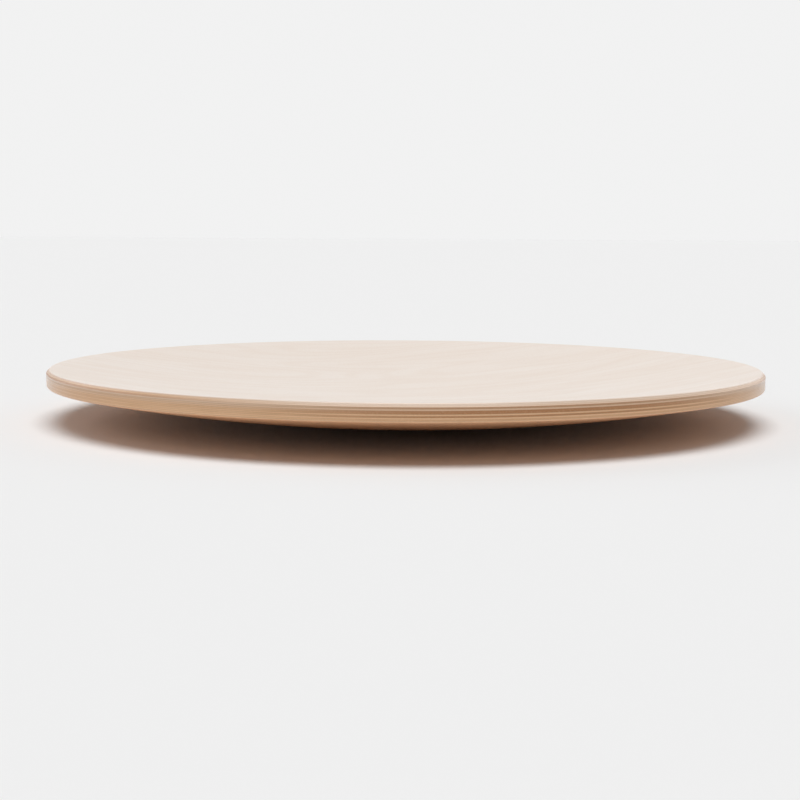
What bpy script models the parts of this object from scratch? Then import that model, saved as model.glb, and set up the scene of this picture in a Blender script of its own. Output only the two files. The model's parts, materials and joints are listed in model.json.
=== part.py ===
"""Round balance board: a shallow dish pressed from beech veneers and milled to a round rim.

Metres, +Z up. The origin is the middle of the underside, where the board stands, and +Z is the
axis that the board is turned about.

Every veneer is a cap between two spheres about one centre, high above the board. The rim is
milled through the whole stack: a bevel falls from the dish to an upright wall, and every corner
of the outline is eased. The edge of each veneer is the stretch of that outline between its faces.
"""

import math

import bpy
import numpy

# Driving dimensions
BOARD_DIAMETER = 0.780
ROLLING_RADIUS = 1.885
VENEER_COUNT = 12
FACE_VENEER_THICKNESS = 0.0012
CORE_VENEER_THICKNESS = 0.0012
GLUE_LINE_THICKNESS = 0.0003
BEVEL_WIDTH = 0.0036
BEVEL_SLOPE = math.radians(45)
CREST_EASING_RADIUS = 0.0012
WALL_EASING_RADIUS = 0.0008
BOTTOM_ARRIS_RADIUS = 0.0020
STANDING_FLAT_DIAMETER = 0.040

# Fineness of the surfaces
STEPS_AROUND = 60
RINGS_ACROSS = 4
STEPS_PER_CORNER = 3
LEAST_STEP_ALONG_RIM = 0.00025
SHARP_ANGLE = math.radians(40)

# Wood colours, and how rough each surface is under its lacquer
TOP_FACE_COLOUR = (0.81, 0.70, 0.63, 1.0)
UNDERSIDE_COLOUR = (0.77, 0.47, 0.27, 1.0)
LONG_GRAIN_COLOUR = (0.80, 0.52, 0.32, 1.0)
END_GRAIN_COLOUR = (0.54, 0.29, 0.15, 1.0)
FACE_ROUGHNESS = 0.35
EDGE_ROUGHNESS = 0.30

# Sizes that follow from the driving ones
RIM_RADIUS = BOARD_DIAMETER / 2
CORE_THICKNESS = (VENEER_COUNT - 2) * CORE_VENEER_THICKNESS
BOARD_THICKNESS = 2 * FACE_VENEER_THICKNESS + CORE_THICKNESS + (VENEER_COUNT - 1) * GLUE_LINE_THICKNESS
DISH_RADIUS = ROLLING_RADIUS - BOARD_THICKNESS
RIM_ANGLE = math.asin(RIM_RADIUS / ROLLING_RADIUS)
FLAT_ANGLE = math.asin(STANDING_FLAT_DIAMETER / 2 / ROLLING_RADIUS)
SPHERE_CENTRE_HEIGHT = ROLLING_RADIUS * math.cos(FLAT_ANGLE)


def section_point(distance, angle):
    """A point of the board's section, as its distance from the board's axis and its height."""
    return distance * math.sin(angle), SPHERE_CENTRE_HEIGHT - distance * math.cos(angle)


def sphere_through(point):
    """The radius of the sphere of the stack on which a point of the section lies."""
    return math.hypot(point[0], SPHERE_CENTRE_HEIGHT - point[1])


def eased_corner(corner, normal_before, normal_after, radius):
    """Points of the arc that rounds a corner, between the directions that its two surfaces face."""
    turn = normal_before - normal_after
    middle = (normal_before + normal_after) / 2
    reach = radius / math.cos(turn / 2)
    centre = corner[0] - reach * math.cos(middle), corner[1] - reach * math.sin(middle)
    points = []
    for step in range(STEPS_PER_CORNER + 1):
        normal = normal_before - turn * step / STEPS_PER_CORNER
        points.append((centre[0] + radius * math.cos(normal), centre[1] + radius * math.sin(normal)))
    return points


def rim_outline():
    """The milled rim in section, from the dish over the bevel and down the wall to the underside."""
    crest_angle = math.asin((RIM_RADIUS - BEVEL_WIDTH) / DISH_RADIUS)
    crest = section_point(DISH_RADIUS, crest_angle)
    top_of_wall = RIM_RADIUS, crest[1] - BEVEL_WIDTH * math.tan(BEVEL_SLOPE)
    foot_of_wall = section_point(ROLLING_RADIUS, RIM_ANGLE)
    dish_normal = math.pi / 2 + crest_angle
    bevel_normal = math.pi / 2 - BEVEL_SLOPE
    wall_normal = 0.0
    underside_normal = RIM_ANGLE - math.pi / 2
    outline = eased_corner(crest, dish_normal, bevel_normal, CREST_EASING_RADIUS)
    outline += eased_corner(top_of_wall, bevel_normal, wall_normal, WALL_EASING_RADIUS)
    outline += eased_corner(foot_of_wall, wall_normal, underside_normal, BOTTOM_ARRIS_RADIUS)
    return outline


def rim_point(sphere_radius):
    """Where a sphere of the stack meets the milled rim."""
    outline = rim_outline()
    spheres = [sphere_through(point) for point in outline]
    reach = numpy.interp(sphere_radius, spheres, [point[0] for point in outline])
    height = numpy.interp(sphere_radius, spheres, [point[1] for point in outline])
    return float(reach), float(height)


def veneer_edge(upper_sphere, lower_sphere):
    """The rim's outline between the two faces of one veneer, from top to bottom."""
    ends = rim_point(upper_sphere), rim_point(lower_sphere)
    edge = [ends[0]]
    for point in rim_outline():
        clear_of_ends = min(math.dist(point, end) for end in ends) > LEAST_STEP_ALONG_RIM
        if upper_sphere < sphere_through(point) < lower_sphere and clear_of_ends:
            edge.append(point)
    edge.append(ends[1])
    return edge


def veneer_face(sphere_radius):
    """One face of a veneer from the board's axis outwards: a small flat, then rings of a sphere."""
    ring_step = (RIM_ANGLE - FLAT_ANGLE) / RINGS_ACROSS
    rings = [section_point(sphere_radius, FLAT_ANGLE + ring * ring_step) for ring in range(RINGS_ACROSS)]
    return [(0.0, rings[0][1])] + rings


def veneer_section(upper_sphere, lower_sphere):
    """The closed half section of a veneer, down its outer side from the top of the axis."""
    upper_face = veneer_face(upper_sphere)
    lower_face = veneer_face(lower_sphere)
    return upper_face + veneer_edge(upper_sphere, lower_sphere) + lower_face[::-1]


def make_wood(name, colour, roughness):
    wood = bpy.data.materials.new(name)
    wood.use_nodes = True
    shader = wood.node_tree.nodes["Principled BSDF"]
    shader.inputs["Base Color"].default_value = colour
    shader.inputs["Roughness"].default_value = roughness
    shader.inputs["Metallic"].default_value = 0.0
    wood.diffuse_color = colour
    return wood


def make_veneer(name, upper_sphere, lower_sphere, wood, collection):
    """Turns the section of one veneer into a solid about the board's axis."""
    section = veneer_section(upper_sphere, lower_sphere)
    outline = bpy.data.meshes.new(name)
    points = [(reach, 0.0, height) for reach, height in section]
    edges = [(index, index + 1) for index in range(len(points) - 1)]
    outline.from_pydata(points, edges, [])
    veneer = bpy.data.objects.new(name, outline)
    collection.objects.link(veneer)
    veneer.data.materials.append(wood)

    turning = veneer.modifiers.new("Turning", "SCREW")
    turning.axis = "Z"
    turning.angle = 2 * math.pi
    turning.steps = STEPS_AROUND
    turning.render_steps = STEPS_AROUND
    # Only points that coincide are merged: those on the axis and those along the seam
    turning.use_merge_vertices = True
    turning.merge_threshold = LEAST_STEP_ALONG_RIM / 5
    with bpy.context.temp_override(object=veneer, active_object=veneer):
        bpy.ops.object.modifier_apply(modifier=turning.name)

    veneer.data.shade_smooth()
    veneer.data.set_sharp_from_angle(angle=SHARP_ANGLE)
    return veneer


def depth_from_face(number):
    """The lay-up is the same from both faces: 1 for the faces, 2 for their neighbours, and so on."""
    return min(number, VENEER_COUNT + 1 - number)


def is_crossband(number):
    return depth_from_face(number) % 2 == 0


def veneer_name(number):
    """The faces are named for their side, and the plies between them for their place or grain."""
    if number == 1:
        return "top_face_veneer"
    if number == VENEER_COUNT:
        return "bottom_face_veneer"
    if 2 * depth_from_face(number) >= VENEER_COUNT:
        return f"centre_ply_{number:02d}"
    return f"crossband_ply_{number:02d}" if is_crossband(number) else f"long_grain_ply_{number:02d}"


def veneer_wood(number):
    """Each veneer's own material: a pale dish, a tan underside, and dark edges where end grain shows."""
    name = f"{veneer_name(number)} beech"
    if number == 1:
        return make_wood(name, TOP_FACE_COLOUR, FACE_ROUGHNESS)
    if number == VENEER_COUNT:
        return make_wood(name, UNDERSIDE_COLOUR, FACE_ROUGHNESS)
    if is_crossband(number):
        return make_wood(name, END_GRAIN_COLOUR, EDGE_ROUGHNESS)
    return make_wood(name, LONG_GRAIN_COLOUR, EDGE_ROUGHNESS)


def make_board():
    """Stacks the veneers from the dished top face down to the face that rolls on the floor."""
    board = bpy.data.collections.new("round_balance_board")
    bpy.context.scene.collection.children.link(board)
    upper_sphere = DISH_RADIUS
    for number in range(1, VENEER_COUNT + 1):
        is_face = depth_from_face(number) == 1
        thickness = FACE_VENEER_THICKNESS if is_face else CORE_VENEER_THICKNESS
        lower_sphere = upper_sphere + thickness
        make_veneer(veneer_name(number), upper_sphere, lower_sphere, veneer_wood(number), board)
        upper_sphere = lower_sphere + GLUE_LINE_THICKNESS


def main():
    for leftover in list(bpy.data.objects):
        bpy.data.objects.remove(leftover, do_unlink=True)
    make_board()


main()
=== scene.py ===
"""The looks of the round balance board: twelve lacquered beech veneers on a white studio floor."""

import json
import math

import bpy
import numpy
from mathutils import Matrix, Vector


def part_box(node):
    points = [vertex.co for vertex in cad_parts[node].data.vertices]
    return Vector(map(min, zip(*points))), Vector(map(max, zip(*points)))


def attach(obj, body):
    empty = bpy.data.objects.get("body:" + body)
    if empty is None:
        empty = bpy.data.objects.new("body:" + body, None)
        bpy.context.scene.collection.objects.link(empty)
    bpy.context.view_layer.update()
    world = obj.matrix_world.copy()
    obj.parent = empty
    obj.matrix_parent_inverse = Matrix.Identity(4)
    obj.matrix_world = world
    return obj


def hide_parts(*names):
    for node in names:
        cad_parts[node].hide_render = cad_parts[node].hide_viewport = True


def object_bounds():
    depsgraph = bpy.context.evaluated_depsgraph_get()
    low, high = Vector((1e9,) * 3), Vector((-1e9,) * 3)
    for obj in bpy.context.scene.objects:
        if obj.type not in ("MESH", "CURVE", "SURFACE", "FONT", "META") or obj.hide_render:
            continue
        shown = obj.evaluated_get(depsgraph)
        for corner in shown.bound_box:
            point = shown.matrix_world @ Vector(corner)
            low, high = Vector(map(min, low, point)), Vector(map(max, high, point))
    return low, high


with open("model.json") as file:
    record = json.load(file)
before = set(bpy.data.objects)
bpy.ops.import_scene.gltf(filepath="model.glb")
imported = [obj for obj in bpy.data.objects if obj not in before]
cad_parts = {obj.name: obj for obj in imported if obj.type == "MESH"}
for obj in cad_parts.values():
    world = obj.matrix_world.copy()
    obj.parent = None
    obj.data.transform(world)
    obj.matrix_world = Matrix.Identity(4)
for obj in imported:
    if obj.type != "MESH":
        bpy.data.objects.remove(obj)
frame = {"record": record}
cad_low, cad_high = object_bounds()

# Sizes of the board, in metres
RIM_RADIUS = (cad_high.x - cad_low.x) / 2
ROLLING_RADIUS = 1.885
VENEER_COUNT = 12
VENEER_THICKNESS = 0.0012
VENEER_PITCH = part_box("crossband_ply_11")[0].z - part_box("bottom_face_veneer")[0].z
BEVEL_WIDTH = 0.0036
BEVEL_SLOPE = math.radians(45)
CREST_EASING_RADIUS = 0.0013
WALL_EASING_RADIUS = 0.0008
BOTTOM_ARRIS_RADIUS = 0.0020
STANDING_FLAT_DIAMETER = 0.040
BOARD_THICKNESS = (VENEER_COUNT - 1) * VENEER_PITCH + VENEER_THICKNESS
DISH_RADIUS = ROLLING_RADIUS - BOARD_THICKNESS
RIM_ANGLE = math.asin(RIM_RADIUS / ROLLING_RADIUS)
FLAT_ANGLE = math.asin(STANDING_FLAT_DIAMETER / 2 / ROLLING_RADIUS)
SPHERE_CENTRE_HEIGHT = ROLLING_RADIUS * math.cos(FLAT_ANGLE)
SPHERE_CENTRE = (0, 0, SPHERE_CENTRE_HEIGHT)

# What stays open of each glued joint, so that no two pieces touch
GLUE_GAP = 0.00002

# Fineness of the turned surfaces
STEPS_AROUND = 256
RINGS_ACROSS = 20
STEPS_PER_CORNER = 6
LEAST_STEP = 0.00008
WELD_DISTANCE = 0.00001
SMOOTHING_ANGLE = math.radians(30)

# The grain of the faces against X, and of the crossbands against that
FACE_GRAIN_TURN = math.radians(18)
CROSSBAND_TURN = math.radians(90)

# Beech under clear lacquer, as linear colours
TOP_FACE = (0.800, 0.712, 0.638)
TOP_FACE_RING = (0.765, 0.655, 0.568)
# The underside's colours are darker and warmer than the top face's: partly its own sheet, partly painted
# shade
UNDERSIDE_WITH_PAINTED_SHADE = (0.780, 0.435, 0.240)
UNDERSIDE_RING_WITH_PAINTED_SHADE = (0.690, 0.355, 0.180)
BEECH_FLECK = (0.500, 0.310, 0.200)
# A pale edge colour: partly the slanting cut showing the sheet, partly a painted highlight on the bevel
# and the top of the wall
PALE_EDGE_AND_HIGHLIGHT = (0.790, 0.650, 0.540)
LONG_EDGE = (0.790, 0.515, 0.315)
LONG_EDGE_STREAK = (0.650, 0.390, 0.215)
END_GRAIN = (0.500, 0.250, 0.118)
END_GRAIN_PORE = (0.300, 0.135, 0.060)
GLUE_LINE = (0.300, 0.150, 0.075)

# How light each veneer's edge is, from the top face down: darker just below the top face and lighter
# towards the foot of the wall
EDGE_TONES = 0.97, 0.85, 0.90, 0.94, 0.96, 0.97, 0.98, 1.00, 1.01, 1.04, 1.08, 1.06
# How far the end grain of each has darkened, from the top face down
END_GRAIN_SHARES = 0.6, 0.9, 1.0, 0.75, 0.4, 1.0, 1.0, 0.3, 0.95, 0.3, 0.45, 0.2

# How much pale colour each edge takes on, from the top face down: partly the slanting cut showing the
# sheet, partly a painted highlight on the bevel and the top of the wall
PALE_EDGE_AND_HIGHLIGHT_SHARES = 0.85, 0.10, 0.50, 0.43, 0.29, 0.15, 0.0, 0.0, 0.0, 0.0, 0.0, 0.0

# The veneers whose end grain is painted pale: partly wood sealed pale, partly a painted highlight at the
# front of the bevel
END_GRAIN_WITH_PAINTED_HIGHLIGHT = (2,)

# The veneers that end on the upright wall, below the bevel and above the bottom arris
WALL_VENEERS = range(4, 12)

# How far beech's figure reaches along the grain, across it and through the sheet
SWELL_SIZE = (0.55, 0.10, 0.030)
WANDER_SIZE = (0.12, 0.012, 0.004)
RAY_SIZE = (0.0030, 0.00045, 0.004)
FIBRE_SIZE = (0.030, 0.0006, 0.0005)
MOTTLE_SIZE = (0.16, 0.035, 0.010)

# How tightly the growth rings lie, and how far they stray from a smooth swell
RING_DENSITY = 95.0
RING_WANDER = 0.05

# How far apart in the figure two neighbouring sheets are cut
SHEET_SHIFT = 3.7

# The values of its pattern at which each feature starts to show and shows in full
RINGS_SHOW = -0.3, 1.0
RAYS_SHOW = 0.62, 0.76
FIBRES_SHOW = 0.30, 0.70
MOTTLE_SHOWS = 0.30, 0.70

# How much each feature colours the faces, the long-grain edges and the end grain
RINGS_ON_FACE = 0.55
MOTTLE_ON_FACE = 0.35
FIBRES_ON_FACE = 0.30
RAYS_ON_FACE = 0.45
FIBRES_ON_LONG_EDGE = 0.55
MOTTLE_ON_LONG_EDGE = 0.30
FIBRES_ON_END_GRAIN = 0.50
RAYS_ON_END_GRAIN = 0.50

# How closely a surface follows its sheet, 1 being its face, where the cut starts to show and shows in full
CUT_SHOWS = 0.985, 0.85
EDGE_COLOUR_SHOWS = 1.00, 0.50

# How squarely the rim crosses the grain, 1 being square, where its end starts to show and shows in full
BEVEL_END_GRAIN_ONSET = 0.50
WALL_END_GRAIN_ONSET = 0.72
END_GRAIN_IN_FULL = 1.02

# Glue lines: the one under the top face is opened wider by the bevel and shows more
GLUE_LINE_WIDTH = 0.00022
TOP_GLUE_LINE_WIDTH = 0.00045
GLUE_LINE_STRENGTH = 0.35, 0.80
TOP_GLUE_LINE_STRENGTH = 0.55, 1.00
GLUE_LINE_IN_END_GRAIN = 0.15

# Lacquer: satin on the faces, smoother on the cut, and mostly drunk in by the veneers between the faces
FACE_ROUGHNESS = 0.30, 0.38
WALL_ROUGHNESS = 0.14
BEVEL_ROUGHNESS = 0.24
END_GRAIN_ROUGHENING = 0.06
CORE_SPECULAR_LEVEL = 0.2

# How deep fibres and rays lie, where a glue line on a cut edge lies 1 deep
FIBRE_DEPTH = 0.4
RAY_DEPTH = 0.6
RELIEF_STRENGTH = 0.25
RELIEF_DEPTH = 0.00008

# Each softbox has its strength, its spread, and its lean from overhead to the front and to the right
SOFTBOXES = {
    "overhead_softbox": (2.28, math.radians(48), math.radians(14.5), math.radians(0)),
    "left_softbox": (0.75, math.radians(50), math.radians(-26), math.radians(-74)),
    "right_softbox": (0.30, math.radians(50), math.radians(-38.5), math.radians(72)),
}

# The white surroundings: the light that they throw on the board, and how bright they look
ROOM_LIGHT = 0.22
BACKDROP_BRIGHTNESS = 0.885

# The floor is so wide that its far edge lies close to the horizon
FLOOR_SIZE = 60
FLOOR_WHITE = (0.860, 0.860, 0.860, 1)
FLOOR_ROUGHNESS = 0.9

# Where the camera stands, as fitted to the rim's ellipse in an image 800 pixels wide
IMAGE_WIDTH = 800
FOCAL_LENGTH_PIXELS = 1580
SENSOR_WIDTH_MM = 36.0
CAMERA_DISTANCE = 1.7495
CAMERA_SIDE = -0.0061
CAMERA_ABOVE_RIM = 0.1505
CAMERA_PITCH = math.radians(6.195)
CAMERA_ROLL = math.radians(0.31)


def section_point(distance, angle):
    """A point of the board's section, as its distance from the board's axis and its height."""
    return distance * math.sin(angle), SPHERE_CENTRE_HEIGHT - distance * math.cos(angle)


def sphere_through(point):
    """The radius of the sphere of the stack on which a point of the section lies."""
    return math.hypot(point[0], SPHERE_CENTRE_HEIGHT - point[1])


def eased_corner(corner, normal_before, normal_after, radius):
    """Points of the arc that rounds a corner, between the directions that its two surfaces face."""
    turn = normal_before - normal_after
    middle = (normal_before + normal_after) / 2
    reach = radius / math.cos(turn / 2)
    centre = corner[0] - reach * math.cos(middle), corner[1] - reach * math.sin(middle)
    points = []
    for step in range(STEPS_PER_CORNER + 1):
        normal = normal_before - turn * step / STEPS_PER_CORNER
        points.append((centre[0] + radius * math.cos(normal), centre[1] + radius * math.sin(normal)))
    return points


def rim_outline():
    """The milled rim in section, from the dish over the bevel and down the wall to the underside."""
    crest_angle = math.asin((RIM_RADIUS - BEVEL_WIDTH) / DISH_RADIUS)
    crest = section_point(DISH_RADIUS, crest_angle)
    top_of_wall = RIM_RADIUS, crest[1] - BEVEL_WIDTH * math.tan(BEVEL_SLOPE)
    foot_of_wall = section_point(ROLLING_RADIUS, RIM_ANGLE)
    dish_normal = math.pi / 2 + crest_angle
    bevel_normal = math.pi / 2 - BEVEL_SLOPE
    wall_normal = 0.0
    underside_normal = RIM_ANGLE - math.pi / 2
    outline = eased_corner(crest, dish_normal, bevel_normal, CREST_EASING_RADIUS)
    outline += eased_corner(top_of_wall, bevel_normal, wall_normal, WALL_EASING_RADIUS)
    outline += eased_corner(foot_of_wall, wall_normal, underside_normal, BOTTOM_ARRIS_RADIUS)
    return outline


def rim_point(sphere_radius):
    """Where a sphere of the stack meets the milled rim."""
    outline = rim_outline()
    spheres = [sphere_through(point) for point in outline]
    reach = numpy.interp(sphere_radius, spheres, [point[0] for point in outline])
    height = numpy.interp(sphere_radius, spheres, [point[1] for point in outline])
    return float(reach), float(height)


def veneer_section(upper_sphere, lower_sphere):
    """The closed half section of a veneer, down its outer side from the top of the axis."""
    ring_step = (RIM_ANGLE - FLAT_ANGLE) / RINGS_ACROSS
    angles = [FLAT_ANGLE + ring * ring_step for ring in range(RINGS_ACROSS)]
    upper = [section_point(upper_sphere, angle) for angle in angles]
    lower = [section_point(lower_sphere, angle) for angle in reversed(angles)]
    ends = rim_point(upper_sphere), rim_point(lower_sphere)
    edge = []
    for point in rim_outline():
        clear_of_ends = min(math.dist(point, end) for end in ends) > LEAST_STEP
        if upper_sphere < sphere_through(point) < lower_sphere and clear_of_ends:
            edge.append(point)
    return [(0.0, upper[0][1]), *upper, ends[0], *edge, ends[1], *lower, (0.0, lower[-1][1])]


def draw_wire(name, section):
    """Draws a half section as a wire: a plane is merged to one point, which is then extruded along it."""
    bpy.ops.object.select_all(action="DESELECT")
    bpy.ops.mesh.primitive_plane_add(size=WELD_DISTANCE)
    wire = bpy.context.object
    wire.name = name
    wire.data.name = name
    bpy.ops.object.mode_set(mode="EDIT")
    bpy.ops.mesh.select_all(action="SELECT")
    bpy.ops.mesh.merge(type="CENTER")
    bpy.ops.transform.translate(value=(section[0][0], 0, section[0][1]))
    for start, end in zip(section, section[1:]):
        stretch = (end[0] - start[0], 0, end[1] - start[1])
        bpy.ops.mesh.extrude_vertices_move(TRANSFORM_OT_translate={"value": stretch})
    bpy.ops.object.mode_set(mode="OBJECT")
    return wire


def turn_veneer(name, upper_sphere, lower_sphere):
    """Spins the section of a veneer about the board's axis and closes its seam and its poles."""
    veneer = draw_wire(name, veneer_section(upper_sphere, lower_sphere))
    bpy.ops.object.mode_set(mode="EDIT")
    bpy.ops.mesh.select_all(action="SELECT")
    bpy.ops.mesh.spin(steps=STEPS_AROUND, angle=2 * math.pi, center=(0, 0, 0), axis=(0, 0, 1))
    bpy.ops.mesh.select_all(action="SELECT")
    bpy.ops.mesh.remove_doubles(threshold=WELD_DISTANCE)
    bpy.ops.mesh.normals_make_consistent(inside=False)
    bpy.ops.object.mode_set(mode="OBJECT")
    bpy.ops.object.shade_smooth_by_angle(angle=SMOOTHING_ANGLE)
    return veneer


def feed(tree, socket, value):
    """Gives an input either a link or a constant."""
    if isinstance(value, bpy.types.NodeSocket):
        tree.links.new(value, socket)
    elif isinstance(value, tuple) and len(value) == 3 and socket.type == "RGBA":
        socket.default_value = (*value, 1)
    else:
        socket.default_value = value


def maths(tree, operation, *values):
    node = tree.nodes.new("ShaderNodeMath")
    node.operation = operation
    for socket, value in zip(node.inputs, values):
        feed(tree, socket, value)
    return node.outputs["Value"]


def vector_maths(tree, operation, *values):
    node = tree.nodes.new("ShaderNodeVectorMath")
    node.operation = operation
    for socket, value in zip(node.inputs, values):
        feed(tree, socket, value)
    return node.outputs["Value" if operation in ("DOT_PRODUCT", "DISTANCE") else "Vector"]


def soft_step(tree, value, start, end):
    """Rises smoothly from 0 at one value to 1 at another, which may be the lower one."""
    node = tree.nodes.new("ShaderNodeMapRange")
    node.interpolation_type = "SMOOTHSTEP"
    feed(tree, node.inputs["Value"], value)
    feed(tree, node.inputs["From Min"], start)
    feed(tree, node.inputs["From Max"], end)
    return node.outputs["Result"]


def spread(tree, value, low, high):
    """Stretches a value between 0 and 1 over another range."""
    node = tree.nodes.new("ShaderNodeMapRange")
    feed(tree, node.inputs["Value"], value)
    node.inputs["To Min"].default_value = low
    node.inputs["To Max"].default_value = high
    return node.outputs["Result"]


def tint(tree, share, first, second, method="MIX"):
    """Mixes two colours by a share."""
    node = tree.nodes.new("ShaderNodeMix")
    node.data_type = "RGBA"
    node.blend_type = method
    feed(tree, node.inputs["Factor"], share)
    feed(tree, node.inputs["A"], first)
    feed(tree, node.inputs["B"], second)
    return node.outputs["Result"]


def stain(tree, mask, strength, colour, stained):
    """Colours what a mask picks out, with the given strength where the mask is full."""
    return tint(tree, maths(tree, "MULTIPLY", mask, strength), colour, stained)


def stretched_noise(tree, place, sizes, detail=2.0, roughness=0.5):
    """Noise whose blotches have the given sizes along the grain, across it and through the sheet."""
    noise = tree.nodes.new("ShaderNodeTexNoise")
    feed(tree, noise.inputs["Vector"], vector_maths(tree, "DIVIDE", place, sizes))
    noise.inputs["Scale"].default_value = 1.0
    noise.inputs["Detail"].default_value = detail
    noise.inputs["Roughness"].default_value = roughness
    return noise.outputs["Fac"]


def new_group(name, inputs, outputs):
    """A shader node group with float inputs and outputs, and its two end nodes."""
    tree = bpy.data.node_groups.new(name, "ShaderNodeTree")
    for label in inputs:
        tree.interface.new_socket(name=label, in_out="INPUT", socket_type="NodeSocketFloat")
    for label in outputs:
        tree.interface.new_socket(name=label, in_out="OUTPUT", socket_type="NodeSocketFloat")
    return tree, tree.nodes.new("NodeGroupInput"), tree.nodes.new("NodeGroupOutput")


def depth_in_stack(tree, position):
    """The distance from the centre of the spheres, which is the same all over a face of a veneer."""
    return vector_maths(tree, "DISTANCE", position, SPHERE_CENTRE)


def place_in_grain(tree, grain_turn, seed):
    """A place in the wood, as measured along the grain of a veneer, across it and through the sheet."""
    position = tree.nodes.new("ShaderNodeTexCoord").outputs["Object"]
    turned = tree.nodes.new("ShaderNodeVectorRotate")
    turned.rotation_type = "Z_AXIS"
    feed(tree, turned.inputs["Vector"], position)
    feed(tree, turned.inputs["Angle"], maths(tree, "MULTIPLY", grain_turn, -1.0))
    level = tree.nodes.new("ShaderNodeSeparateXYZ")
    feed(tree, level.inputs["Vector"], turned.outputs["Vector"])
    place = tree.nodes.new("ShaderNodeCombineXYZ")
    feed(tree, place.inputs["X"], maths(tree, "ADD", level.outputs["X"], seed))
    feed(tree, place.inputs["Y"], maths(tree, "ADD", level.outputs["Y"], seed))
    feed(tree, place.inputs["Z"], depth_in_stack(tree, position))
    return place.outputs["Vector"]


def make_figure_group():
    """The figure of rotary-cut beech, laid along the grain of one veneer."""
    outputs = ["Growth Rings", "Rays", "Fibres", "Tone"]
    tree, start, end = new_group("veneer figure", ["Grain Turn", "Seed"], outputs)
    place = place_in_grain(tree, start.outputs["Grain Turn"], start.outputs["Seed"])

    swell = stretched_noise(tree, place, SWELL_SIZE, detail=1.5, roughness=0.35)
    wander = stretched_noise(tree, place, WANDER_SIZE)
    height = maths(tree, "MULTIPLY_ADD", wander, RING_WANDER, swell)
    rings = maths(tree, "SINE", maths(tree, "MULTIPLY", height, RING_DENSITY))
    rays = stretched_noise(tree, place, RAY_SIZE, detail=1.0)
    fibres = stretched_noise(tree, place, FIBRE_SIZE, detail=3.0, roughness=0.6)
    mottle = stretched_noise(tree, place, MOTTLE_SIZE)

    feed(tree, end.inputs["Growth Rings"], soft_step(tree, rings, *RINGS_SHOW))
    feed(tree, end.inputs["Rays"], soft_step(tree, rays, *RAYS_SHOW))
    feed(tree, end.inputs["Fibres"], soft_step(tree, fibres, *FIBRES_SHOW))
    feed(tree, end.inputs["Tone"], soft_step(tree, mottle, *MOTTLE_SHOWS))
    return tree


def make_cut_group():
    """Where the sheet is cut across, and how squarely that cut crosses its grain."""
    outputs = ["Cut", "Squareness", "End Grain"]
    tree, start, end = new_group("cut edge", ["Grain Turn", "End Grain Onset"], outputs)
    sources = tree.nodes.new("ShaderNodeTexCoord")
    outward = vector_maths(tree, "SUBTRACT", sources.outputs["Object"], SPHERE_CENTRE)
    outward = vector_maths(tree, "NORMALIZE", outward)
    flatness = vector_maths(tree, "DOT_PRODUCT", outward, sources.outputs["Normal"])
    flatness = maths(tree, "ABSOLUTE", flatness)
    cut = soft_step(tree, flatness, *CUT_SHOWS)
    feed(tree, end.inputs["Cut"], cut)
    feed(tree, end.inputs["Squareness"], soft_step(tree, flatness, *EDGE_COLOUR_SHOWS))

    grain = tree.nodes.new("ShaderNodeCombineXYZ")
    feed(tree, grain.inputs["X"], maths(tree, "COSINE", start.outputs["Grain Turn"]))
    feed(tree, grain.inputs["Y"], maths(tree, "SINE", start.outputs["Grain Turn"]))
    towards_rim = vector_maths(tree, "MULTIPLY", sources.outputs["Object"], (1, 1, 0))
    towards_rim = vector_maths(tree, "NORMALIZE", towards_rim)
    across = vector_maths(tree, "DOT_PRODUCT", grain.outputs["Vector"], towards_rim)
    across = maths(tree, "ABSOLUTE", across)
    squarely = soft_step(tree, across, start.outputs["End Grain Onset"], END_GRAIN_IN_FULL)
    feed(tree, end.inputs["End Grain"], maths(tree, "MULTIPLY", squarely, cut))
    return tree


def make_glue_group():
    """The thin line of glue along the border of a veneer, seen where the stack is cut."""
    tree, start, end = new_group("glue line", ["Upper Sphere", "Lower Sphere", "Line Width"], ["Line"])
    position = tree.nodes.new("ShaderNodeTexCoord").outputs["Object"]
    depth = depth_in_stack(tree, position)
    above = maths(tree, "ABSOLUTE", maths(tree, "SUBTRACT", depth, start.outputs["Upper Sphere"]))
    below = maths(tree, "ABSOLUTE", maths(tree, "SUBTRACT", depth, start.outputs["Lower Sphere"]))
    nearest = maths(tree, "MINIMUM", above, below)
    feed(tree, end.inputs["Line"], soft_step(tree, nearest, start.outputs["Line Width"], 0.0))
    return tree


def place_group(tree, group, **values):
    """Puts a group in a material, with its inputs given by name, and returns what it puts out."""
    node = tree.nodes.new("ShaderNodeGroup")
    node.node_tree = group
    for label, value in values.items():
        feed(tree, node.inputs[label.replace("_", " ")], value)
    return node.outputs


def face_colour(tree, figure, number):
    """The face of a veneer: the wood of the nearer outer face, with rings, mottle, fibres and rays; the
    underside's colours are partly painted shade.
    """
    in_upper_half = 2 * number <= VENEER_COUNT
    face, ring = (TOP_FACE, TOP_FACE_RING) if in_upper_half else (UNDERSIDE_WITH_PAINTED_SHADE, UNDERSIDE_RING_WITH_PAINTED_SHADE)
    face = stain(tree, figure["Growth Rings"], RINGS_ON_FACE, face, ring)
    face = stain(tree, figure["Tone"], MOTTLE_ON_FACE, face, ring)
    face = stain(tree, figure["Fibres"], FIBRES_ON_FACE, face, ring)
    return stain(tree, figure["Rays"], RAYS_ON_FACE, face, BEECH_FLECK)


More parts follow.
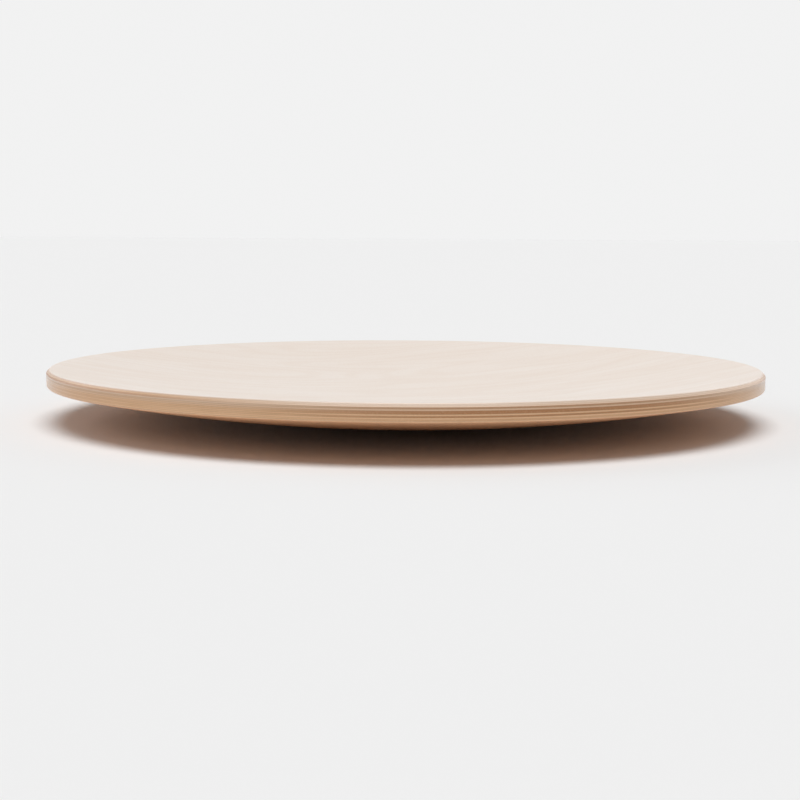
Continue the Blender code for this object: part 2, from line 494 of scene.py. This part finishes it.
def long_edge_colour(tree, figure, number):
    """The edge of a veneer where the rim runs along its grain, made paler near the top: partly its
    slanting cut, partly a painted highlight.
    """
    edge = stain(tree, figure["Fibres"], FIBRES_ON_LONG_EDGE, LONG_EDGE, LONG_EDGE_STREAK)
    edge = stain(tree, figure["Tone"], MOTTLE_ON_LONG_EDGE, edge, LONG_EDGE_STREAK)
    # Painted highlight, in part: the pale share lightens the edges of the upper veneers
    return tint(tree, PALE_EDGE_AND_HIGHLIGHT_SHARES[number - 1], edge, PALE_EDGE_AND_HIGHLIGHT)


def end_grain_colour(tree, figure, number):
    """The edge of a veneer where the rim cuts across its grain; on some veneers it is painted pale, partly
    as a painted highlight.
    """
    end, pore = (PALE_EDGE_AND_HIGHLIGHT, LONG_EDGE) if number in END_GRAIN_WITH_PAINTED_HIGHLIGHT else (END_GRAIN, END_GRAIN_PORE)
    end = stain(tree, figure["Fibres"], FIBRES_ON_END_GRAIN, end, pore)
    return stain(tree, figure["Rays"], RAYS_ON_END_GRAIN, end, LONG_EDGE)


def edge_colour(tree, figure, cut, glue, number):
    """The cut edge of a veneer all round the rim, with its glue lines."""
    long_edge = long_edge_colour(tree, figure, number)
    end_grain = end_grain_colour(tree, figure, number)
    edge = stain(tree, cut["End Grain"], END_GRAIN_SHARES[number - 1], long_edge, end_grain)
    tone = EDGE_TONES[number - 1]
    edge = tint(tree, 1.0, edge, (tone, tone, tone), method="MULTIPLY")
    strength = TOP_GLUE_LINE_STRENGTH if number == 1 else GLUE_LINE_STRENGTH
    line = maths(tree, "MULTIPLY", glue["Line"], spread(tree, figure["Tone"], *strength))
    line = maths(tree, "MULTIPLY", line, spread(tree, cut["End Grain"], 1.0, GLUE_LINE_IN_END_GRAIN))
    return tint(tree, line, edge, GLUE_LINE)


def lacquer_roughness(tree, figure, cut, number):
    """How rough the lacquer is, from the face of a veneer to its cut edge."""
    on_face = spread(tree, figure["Tone"], *FACE_ROUGHNESS)
    smoothest = WALL_ROUGHNESS if number in WALL_VENEERS else BEVEL_ROUGHNESS
    on_edge = maths(tree, "MULTIPLY_ADD", cut["End Grain"], END_GRAIN_ROUGHENING, smoothest)
    blend = tree.nodes.new("ShaderNodeMix")
    feed(tree, blend.inputs["Factor"], cut["Cut"])
    feed(tree, blend.inputs["A"], on_face)
    feed(tree, blend.inputs["B"], on_edge)
    return blend.outputs["Result"]


def open_grain(tree, figure, cut, glue):
    """The fine relief of fibres, rays and glue lines, which lie below the surface."""
    rays = maths(tree, "MULTIPLY", figure["Rays"], -RAY_DEPTH)
    relief = maths(tree, "MULTIPLY_ADD", figure["Fibres"], -FIBRE_DEPTH, rays)
    relief = maths(tree, "SUBTRACT", relief, maths(tree, "MULTIPLY", glue["Line"], cut["Cut"]))
    bump = tree.nodes.new("ShaderNodeBump")
    bump.inputs["Strength"].default_value = RELIEF_STRENGTH
    bump.inputs["Distance"].default_value = RELIEF_DEPTH
    feed(tree, bump.inputs["Height"], relief)
    return bump.outputs["Normal"]


def lacquered_beech(name, groups, number, glue_spheres):
    """One veneer: its faces, its cut edge with the glue lines, and the lacquer on it."""
    wood = bpy.data.materials.new(name)
    wood.use_nodes = True
    tree = wood.node_tree
    shader = tree.nodes["Principled BSDF"]
    upper, lower = glue_spheres
    grain_turn = FACE_GRAIN_TURN + (CROSSBAND_TURN if is_crossband(number) else 0)
    onset = WALL_END_GRAIN_ONSET if number in WALL_VENEERS else BEVEL_END_GRAIN_ONSET
    width = TOP_GLUE_LINE_WIDTH if number == 1 else GLUE_LINE_WIDTH
    figure = place_group(tree, groups["figure"], Grain_Turn=grain_turn, Seed=number * SHEET_SHIFT)
    cut = place_group(tree, groups["cut"], Grain_Turn=grain_turn, End_Grain_Onset=onset)
    glue = place_group(tree, groups["glue"], Upper_Sphere=upper, Lower_Sphere=lower, Line_Width=width)

    face = face_colour(tree, figure, number)
    edge = edge_colour(tree, figure, cut, glue, number)
    feed(tree, shader.inputs["Base Color"], tint(tree, cut["Squareness"], face, edge))
    feed(tree, shader.inputs["Roughness"], lacquer_roughness(tree, figure, cut, number))
    feed(tree, shader.inputs["Normal"], open_grain(tree, figure, cut, glue))
    if 1 < number < VENEER_COUNT:
        shader.inputs["Specular IOR Level"].default_value = CORE_SPECULAR_LEVEL
    return wood


def depth_from_face(number):
    """The lay-up is the same from both faces: 1 for the faces, 2 for their neighbours, and so on."""
    return min(number, VENEER_COUNT + 1 - number)


def is_crossband(number):
    return depth_from_face(number) % 2 == 0


def veneer_number(node):
    """The faces are the first and the last of the stack, and the other nodes end in their number."""
    if node == "top_face_veneer":
        return 1
    return VENEER_COUNT if node == "bottom_face_veneer" else int(node[-2:])


def make_veneers():
    """Stacks the veneers from the top face down, each thickened until its glued joints are nearly shut."""
    groups = {"figure": make_figure_group(), "cut": make_cut_group(), "glue": make_glue_group()}
    joint_share = (VENEER_PITCH - VENEER_THICKNESS - GLUE_GAP) / 2
    for row in frame["record"]["subparts"]:
        node = row["node"]
        number = veneer_number(node)
        upper = DISH_RADIUS + (number - 1) * VENEER_PITCH
        lower = upper + VENEER_THICKNESS
        if number > 1:
            upper -= joint_share
        if number < VENEER_COUNT:
            lower += joint_share
        # The outer faces carry no glue, so a face veneer has the glue line on its inner side twice
        glue_spheres = (lower if number == 1 else upper), (upper if number == VENEER_COUNT else lower)
        veneer = turn_veneer("lacquered_" + node, upper, lower)
        wood = lacquered_beech(node + "_beech", groups, number, glue_spheres)
        veneer.data.materials.append(wood)
        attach(veneer, "root")
        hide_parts(node)


def make_floor():
    """A plain white floor, on which the board's shadow falls."""
    bpy.ops.object.select_all(action="DESELECT")
    bpy.ops.mesh.primitive_plane_add(size=FLOOR_SIZE)
    floor = bpy.context.object
    floor.name = "studio_floor"
    white = bpy.data.materials.new("studio floor white")
    white.use_nodes = True
    shader = white.node_tree.nodes["Principled BSDF"]
    shader.inputs["Base Color"].default_value = FLOOR_WHITE
    shader.inputs["Roughness"].default_value = FLOOR_ROUGHNESS
    shader.inputs["Specular IOR Level"].default_value = 0.0
    floor.data.materials.append(white)


def make_softboxes():
    for name, (strength, spread_angle, lean_front, lean_right) in SOFTBOXES.items():
        light = bpy.data.lights.new(name, "SUN")
        light.energy = strength
        light.angle = spread_angle
        softbox = bpy.data.objects.new(name, light)
        softbox.rotation_euler = (lean_front, lean_right, 0)
        bpy.context.scene.collection.objects.link(softbox)


def make_backdrop():
    """Even room light, which the camera, reflections and glass see as a brighter white backdrop."""
    world = bpy.data.worlds.new("studio")
    bpy.context.scene.world = world
    world.use_nodes = True
    tree = world.node_tree
    path = tree.nodes.new("ShaderNodeLightPath")
    seen = maths(tree, "MAXIMUM", path.outputs["Is Camera Ray"], path.outputs["Is Glossy Ray"])
    seen = maths(tree, "MAXIMUM", seen, path.outputs["Is Transmission Ray"])
    strength = spread(tree, seen, ROOM_LIGHT, BACKDROP_BRIGHTNESS)
    background = tree.nodes["Background"]
    background.inputs["Color"].default_value = (1, 1, 1, 1)
    feed(tree, background.inputs["Strength"], strength)


def make_camera():
    camera = bpy.data.cameras.new("photo_view")
    camera.sensor_width = SENSOR_WIDTH_MM
    camera.lens = FOCAL_LENGTH_PIXELS / IMAGE_WIDTH * SENSOR_WIDTH_MM
    holder = bpy.data.objects.new("photo_view", camera)
    bpy.context.scene.collection.objects.link(holder)
    holder.location = (CAMERA_SIDE, -CAMERA_DISTANCE, cad_high.z + CAMERA_ABOVE_RIM)
    turn = Matrix.Rotation(math.pi / 2 - CAMERA_PITCH, 3, "X") @ Matrix.Rotation(CAMERA_ROLL, 3, "Z")
    holder.rotation_euler = turn.to_euler()
    bpy.context.scene.camera = holder


make_veneers()
make_floor()
make_softboxes()
make_backdrop()
make_camera()
bpy.context.scene.view_settings.view_transform = "Standard"
